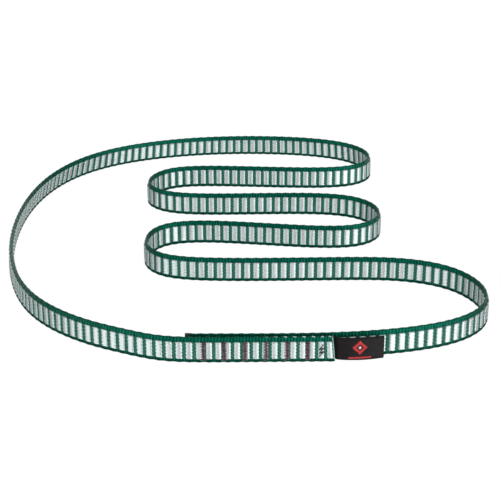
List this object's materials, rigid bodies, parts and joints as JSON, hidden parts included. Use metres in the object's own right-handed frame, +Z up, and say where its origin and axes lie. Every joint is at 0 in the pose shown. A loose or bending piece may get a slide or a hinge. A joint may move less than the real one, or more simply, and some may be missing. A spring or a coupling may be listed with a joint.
{
  "type": "sewn climbing sling",
  "caption": "Sewn loop of flat woven climbing tape standing on edge in an S-shaped bundle, closed by bar tacks over a lap, with a folded cloth label.",
  "frame": {"origin": "under the middle of the bounding box, on the surface that the lower edge of the tape stands on", "axes": "+Z up, across the tape; +Y from the sewn lap towards the far run; +X to the right when the lap faces the viewer"},
  "size_m": [0.2252, 0.2489, 0.011],
  "materials": {
    "woven_tape": "white and green banded weave with green selvedges, satin",
    "needle_thread": "maroon and grey sewing thread, satin stitch",
    "bobbin_thread": "grey sewing thread, satin stitch",
    "label_thread": "black sewing thread",
    "label_cloth": "fine black woven satin",
    "mark_yarn": "red woven figure"
  },
  "bodies": {
    "sling": {"tape": "woven_tape", "tack_1_needle": "needle_thread", "tack_1_bobbin": "bobbin_thread", "tack_2_needle": "needle_thread", "tack_2_bobbin": "bobbin_thread", "tack_3_needle": "needle_thread", "tack_3_bobbin": "bobbin_thread", "tack_4_needle": "needle_thread", "tack_4_bobbin": "bobbin_thread", "tack_5_needle": "needle_thread", "tack_5_bobbin": "bobbin_thread", "tack_6_needle": "needle_thread", "tack_6_bobbin": "bobbin_thread", "label_tack_needle": "label_thread", "label_tack_bobbin": "bobbin_thread", "label_tab": "label_cloth"},
    "label": {"label_flag": "label_cloth", "label_mark": "mark_yarn"}
  },
  "joints": [
    {"name": "label_flap", "type": "hinge", "parent": "sling", "child": "label", "pos_m": [0.04221, -0.12139, 0.0055], "axis": [0, 0, -1], "range_deg": [-5, 90]}
  ]
}
